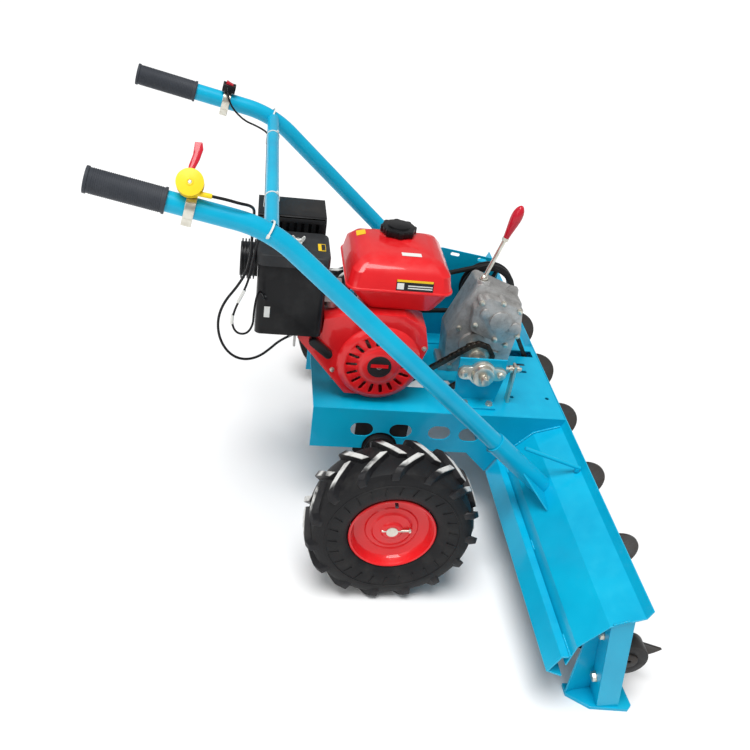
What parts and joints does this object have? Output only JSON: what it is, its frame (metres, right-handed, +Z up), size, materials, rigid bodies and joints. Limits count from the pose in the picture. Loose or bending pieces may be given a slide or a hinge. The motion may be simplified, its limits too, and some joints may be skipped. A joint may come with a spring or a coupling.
{
  "type": "walk-behind auger trencher",
  "caption": "Walk-behind two-wheeled machine: petrol engine and gearbox on a deck drive a wide cross auger under a folded hood, steered by a long handlebar.",
  "frame": {"origin": "on the ground, under the middle of the bounding box", "axes": "+X forward, the way the machine travels; +Y to the machine's left, along the auger; +Z up"},
  "size_m": [1.172, 1.504, 0.931],
  "materials": {
    "blue_paint": "glossy sprayed paint",
    "black_paint": "satin black",
    "red_paint": "glossy red",
    "black_plastic": "moulded black plastic",
    "grey_plastic": "dark grey moulded plastic",
    "white_plastic": "white plastic",
    "yellow_plastic": "yellow plastic",
    "red_plastic": "red plastic",
    "grip_rubber": "black grip rubber",
    "tyre_rubber": "black tyre rubber",
    "cast_aluminium": "as-cast aluminium",
    "zinc_steel": "zinc-plated and bright steel",
    "cast_iron": "dark cast iron",
    "auger_steel": "dark painted steel, worn at the blade edges",
    "chain_steel": "greased chain steel",
    "belt_rubber": "black belt rubber",
    "cable_sheath": "black cable sheath"
  },
  "bodies": {
    "root": {"air_cleaner_case": "black_plastic", "air_cleaner_lid": "grey_plastic", "auger_bearings": "cast_iron", "auger_chain": "chain_steel", "axle_hangers": "black_paint", "bar_clamps": "zinc_steel", "bearing_bracket": "blue_paint", "belt_guard": "blue_paint", "bolts": "zinc_steel", "brace_rods": "blue_paint", "carburettor": "cast_aluminium", "chain_adjuster": "zinc_steel", "crankcase": "cast_aluminium", "crossbar": "blue_paint", "cylinder": "cast_aluminium", "deck_plate": "blue_paint", "drive_belt": "belt_rubber", "drive_chain": "chain_steel", "end_plates": "blue_paint", "end_posts": "blue_paint", "fan_shroud": "red_paint", "flange_bearing": "cast_iron", "fuel_tank": "red_paint", "gearbox_case": "cast_aluminium", "gearbox_cover": "cast_aluminium", "grip_left": "grip_rubber", "grip_right": "grip_rubber", "handle_gussets": "blue_paint", "handle_sockets": "blue_paint", "handle_tube_left": "blue_paint", "handle_tube_right": "blue_paint", "hood": "blue_paint", "hood_angle": "blue_paint", "intake_cap": "black_plastic", "muffler": "black_paint", "muffler_guard": "black_paint", "recoil_cover": "red_paint", "shoes": "blue_paint", "side_plates": "blue_paint", "stop_wire": "cable_sheath", "switch_body": "black_plastic", "throttle_body": "yellow_plastic", "throttle_cable": "cable_sheath"},
    "auger": {"auger_tube": "auger_steel", "auger_flights": "auger_steel"},
    "axle": {"axle_shaft": "zinc_steel", "wheel_rims": "red_paint", "tyres": "tyre_rubber"},
    "crank": {"crankshaft": "zinc_steel", "flywheel": "cast_aluminium", "engine_pulley": "cast_iron"},
    "input_drive": {"input_shaft": "zinc_steel", "input_pulley": "cast_iron"},
    "output_drive": {"output_shaft": "zinc_steel"},
    "gear_lever": {"shift_lever": "zinc_steel"},
    "throttle": {"throttle_lever": "red_plastic"},
    "stop_rocker": {"switch_rocker": "red_plastic"},
    "tank_cap": {"fuel_cap": "black_plastic"},
    "pull_handle": {"recoil_handle": "black_plastic"},
    "filter_nut": {"wing_nut": "white_plastic"}
  },
  "joints": [
    {"name": "auger_turn", "type": "hinge", "parent": "root", "child": "auger", "pos_m": [0.472, 0, 0.136], "axis": [0, 1, 0], "continuous": true},
    {"name": "input_turn", "type": "hinge", "parent": "root", "child": "input_drive", "pos_m": [0.305, 0, 0.46], "axis": [0, 1, 0], "continuous": true},
    {"name": "crank_turn", "type": "hinge", "parent": "root", "child": "crank", "pos_m": [0.004, 0, 0.4], "axis": [0, 1, 0], "continuous": true},
    {"name": "axle_turn", "type": "hinge", "parent": "root", "child": "axle", "pos_m": [0.03, 0, 0.187], "axis": [0, 1, 0], "continuous": true},
    {"name": "output_turn", "type": "hinge", "parent": "root", "child": "output_drive", "pos_m": [0.255, 0, 0.377], "axis": [0, 1, 0], "continuous": true},
    {"name": "gear_lever_tilt", "type": "hinge", "parent": "root", "child": "gear_lever", "pos_m": [0.255, 0.04, 0.549], "axis": [0, 1, 0], "range_deg": [-14, 14]},
    {"name": "throttle_turn", "type": "hinge", "parent": "root", "child": "throttle", "pos_m": [-0.406, -0.333, 0.87], "axis": [0, -0.8, 0.6], "range_deg": [-30, 45]},
    {"name": "stop_rocker_tilt", "type": "hinge", "parent": "root", "child": "stop_rocker", "pos_m": [-0.3686, 0.332, 0.8575], "axis": [0, 1, 0], "range_deg": [-12, 12]},
    {"name": "tank_cap_twist", "type": "hinge", "parent": "root", "child": "tank_cap", "pos_m": [0.034, 0.05, 0.655], "axis": [0, 0, 1], "range_deg": [0, 90]},
    {"name": "pull_handle_slide", "type": "slide", "parent": "root", "child": "pull_handle", "axis": [-0.5, -0.866, 0], "range_m": [0, 0.08], "stiffness_N_per_m": 20, "springref_m": -0.02},
    {"name": "filter_nut_turn", "type": "hinge", "parent": "root", "child": "filter_nut", "pos_m": [-0.199, -0.086, 0.668], "axis": [0, 0, 1], "continuous": true}
  ],
  "couplings": [
    {"joint": "input_turn", "follows": "auger_turn", "ratio": 1.5714},
    {"joint": "crank_turn", "follows": "auger_turn", "ratio": 3.2177},
    {"joint": "output_turn", "follows": "axle_turn", "ratio": 1.2222}
  ]
}
